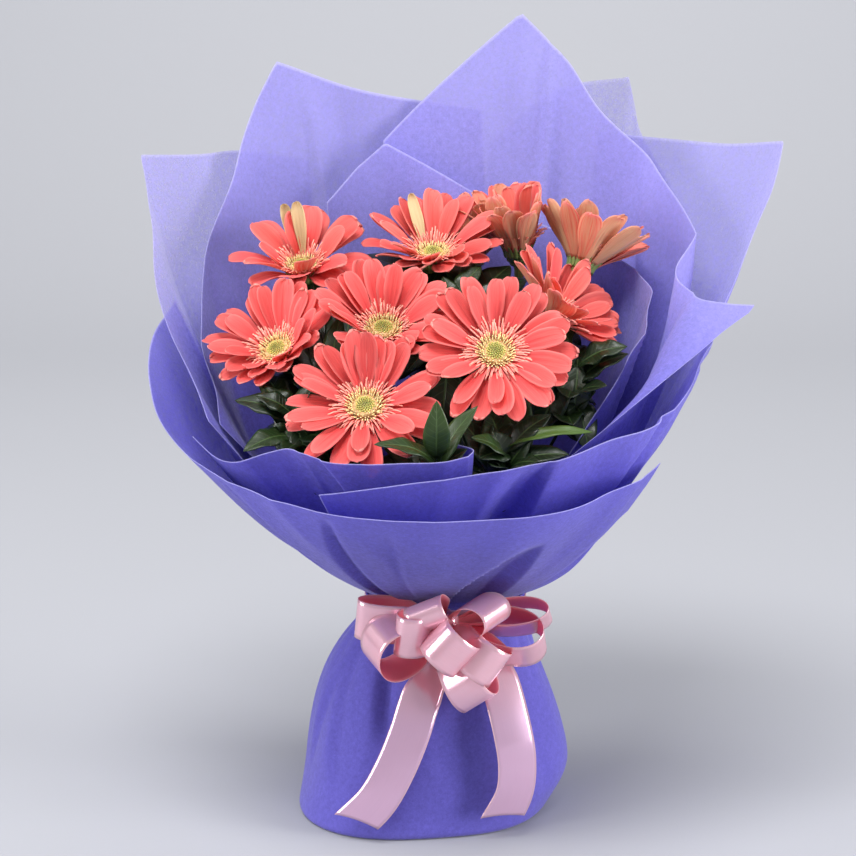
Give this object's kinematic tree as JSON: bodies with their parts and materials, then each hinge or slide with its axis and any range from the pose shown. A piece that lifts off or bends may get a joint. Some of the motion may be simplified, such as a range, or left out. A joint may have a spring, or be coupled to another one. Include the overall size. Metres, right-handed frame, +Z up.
{
  "type": "wrapped gerbera bouquet",
  "caption": "Hand-tied bouquet of coral gerberas and dark leaves in violet non-woven wrap, standing on a closed flared bag, with a looped pink ribbon bow at the neck.",
  "frame": {"origin": "middle of the bag's flat bottom, on the surface that the bouquet stands on", "axes": "+Z up along the bouquet, -Y towards the front with the bow, +X to the right seen from the front"},
  "size_m": [0.4084, 0.33, 0.493],
  "materials": {
    "coral_petals": "matte",
    "cream_florets": "matte",
    "olive_button": "matte",
    "green_stems": "satin",
    "dark_leaves": "satin",
    "violet_wrap": "matte",
    "lilac_wrap": "matte",
    "pink_satin": "gloss",
    "twine": "matte"
  },
  "bodies": {
    "root": {"bloom_01_petals": "coral_petals", "bloom_01_disc_florets": "cream_florets", "bloom_01_button": "olive_button", "bloom_01_stem": "green_stems", "bloom_02_petals": "coral_petals", "bloom_02_disc_florets": "cream_florets", "bloom_02_button": "olive_button", "bloom_02_stem": "green_stems", "bloom_03_petals": "coral_petals", "bloom_03_disc_florets": "cream_florets", "bloom_03_button": "olive_button", "bloom_03_stem": "green_stems", "bloom_04_petals": "coral_petals", "bloom_04_disc_florets": "cream_florets", "bloom_04_button": "olive_button", "bloom_04_stem": "green_stems", "bloom_05_petals": "coral_petals", "bloom_05_disc_florets": "cream_florets", "bloom_05_button": "olive_button", "bloom_05_stem": "green_stems", "bloom_06_petals": "coral_petals", "bloom_06_disc_florets": "cream_florets", "bloom_06_button": "olive_button", "bloom_06_stem": "green_stems", "bloom_07_petals": "coral_petals", "bloom_07_disc_florets": "cream_florets", "bloom_07_button": "olive_button", "bloom_07_stem": "green_stems", "bloom_08_petals": "coral_petals", "bloom_08_disc_florets": "cream_florets", "bloom_08_button": "olive_button", "bloom_08_stem": "green_stems", "bloom_09_petals": "coral_petals", "bloom_09_disc_florets": "cream_florets", "bloom_09_button": "olive_button", "bloom_09_stem": "green_stems", "bloom_10_petals": "coral_petals", "bloom_10_disc_florets": "cream_florets", "bloom_10_button": "olive_button", "bloom_10_stem": "green_stems", "foliage_spray_1": "dark_leaves", "foliage_spray_2": "dark_leaves", "foliage_spray_3": "dark_leaves", "foliage_spray_4": "dark_leaves", "foliage_spray_5": "dark_leaves", "foliage_spray_6": "dark_leaves", "wrap_inner_back": "lilac_wrap", "wrap_back_right": "lilac_wrap", "wrap_back_left": "lilac_wrap", "wrap_far_left": "lilac_wrap", "wrap_inner_left": "violet_wrap", "wrap_right": "violet_wrap", "wrap_right_top": "violet_wrap", "wrap_front": "violet_wrap", "wrap_bag": "violet_wrap", "stem_tie": "twine", "ribbon_band": "pink_satin", "ribbon_bow": "pink_satin", "ribbon_tail_left": "pink_satin", "ribbon_tail_right": "pink_satin"}
  },
  "joints": []
}
